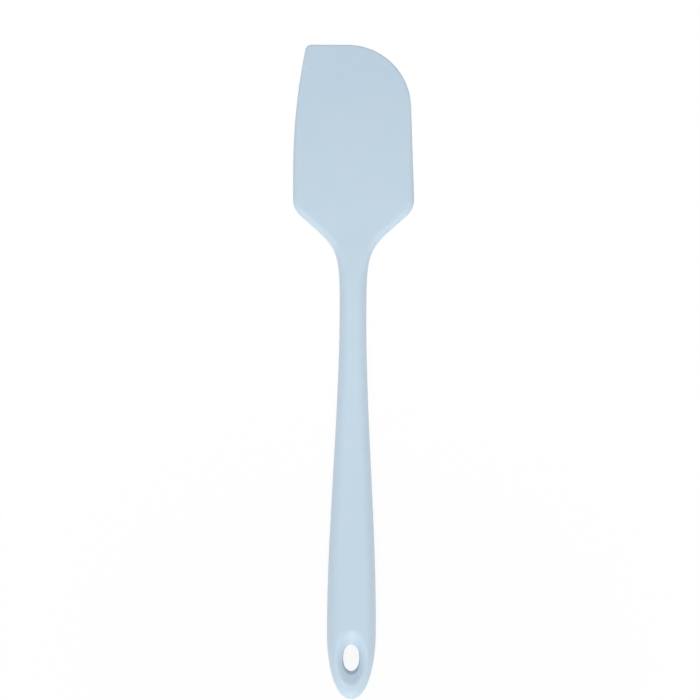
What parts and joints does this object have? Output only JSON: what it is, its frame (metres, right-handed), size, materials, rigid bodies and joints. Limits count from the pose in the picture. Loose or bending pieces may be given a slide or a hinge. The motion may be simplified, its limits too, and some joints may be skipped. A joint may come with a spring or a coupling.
{
  "type": "spatula",
  "caption": "Silicone spatula with a flexible flat blade, one large round corner, sloping shoulders, a slim shaft and a swelling grip with a dished oval hanging eye.",
  "frame": {"origin": "middle of the underside of the box around the spatula, which lies on its back face", "axes": "+Y along the tool towards the blade's tip, +Z out of the front face, +X towards the side with the large round corner"},
  "size_m": [0.0518, 0.28, 0.013],
  "materials": {
    "silicone": "smooth matte silicone, pastel blue",
    "nylon": "matte glass-filled nylon, natural"
  },
  "bodies": {
    "handle": {"core": "nylon", "front_skin": "silicone", "back_skin": "silicone"},
    "blade": {"blade": "silicone"}
  },
  "joints": [
    {"name": "blade_flex", "type": "hinge", "parent": "handle", "child": "blade", "pos_m": [0, 0.088, 0.0065], "axis": [1, 0, 0], "range_deg": [-40, 40], "stiffness_Nm_per_rad": 0.1}
  ]
}
